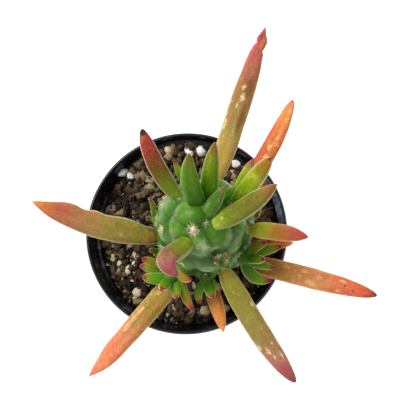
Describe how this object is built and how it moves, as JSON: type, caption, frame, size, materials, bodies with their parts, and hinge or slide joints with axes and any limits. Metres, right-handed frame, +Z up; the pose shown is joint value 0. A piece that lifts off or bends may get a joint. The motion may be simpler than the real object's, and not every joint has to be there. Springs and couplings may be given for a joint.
{
  "type": "potted eves needle cactus",
  "caption": "Fat green tubercled cactus stem with awl-shaped leaves turning orange at their tips and small side shoots, in soil in a round black plastic nursery pot.",
  "frame": {"origin": "middle of the flat underside of the pot", "axes": "+Z up out of the pot, +Y towards the side of the long upper leaf, +X to the right of that"},
  "size_m": [0.1349, 0.1349, 0.16],
  "materials": {
    "pot": "glossy black nursery-pot plastic with pale streaks",
    "soil": "chunky dark bark and peat with white perlite and tan grit",
    "stem": "blue-green glossy cactus skin, paler on the tubercles",
    "leaf_green": "satin yellow-green succulent leaf with a red-brown tip",
    "leaf_olive": "satin olive to tan leaf with a pink end",
    "leaf_orange": "satin orange to coral leaf with pale yellow blotches",
    "shoot": "bright green small leaves with crimson tips"
  },
  "bodies": {
    "root": {"pot": "pot", "soil": "soil", "stem": "stem", "leaf_west": "leaf_olive", "leaf_north": "leaf_olive", "leaf_north_east": "leaf_orange", "leaf_east": "leaf_orange", "leaf_south_east": "leaf_olive", "leaf_south_west": "leaf_orange", "leaf_south": "leaf_orange", "leaf_east_upper": "leaf_green", "leaf_east_lower": "leaf_orange", "leaf_north_west": "leaf_green", "leaf_curled": "leaf_green", "leaf_crown_north_west": "leaf_green", "leaf_crown_north": "leaf_green", "leaf_crown_middle": "leaf_green", "leaf_crown_small": "leaf_green", "leaf_crown_north_east": "leaf_green", "leaf_crown_east": "leaf_green", "leaf_small_north_east": "leaf_green", "leaf_small_east": "leaf_green", "leaf_small_north": "leaf_green", "shoot_south_west": "shoot", "shoot_south_east": "shoot", "shoot_south": "shoot", "shoot_west": "shoot", "bud_south_west": "shoot", "bud_south": "shoot", "bud_east": "shoot"}
  },
  "joints": []
}
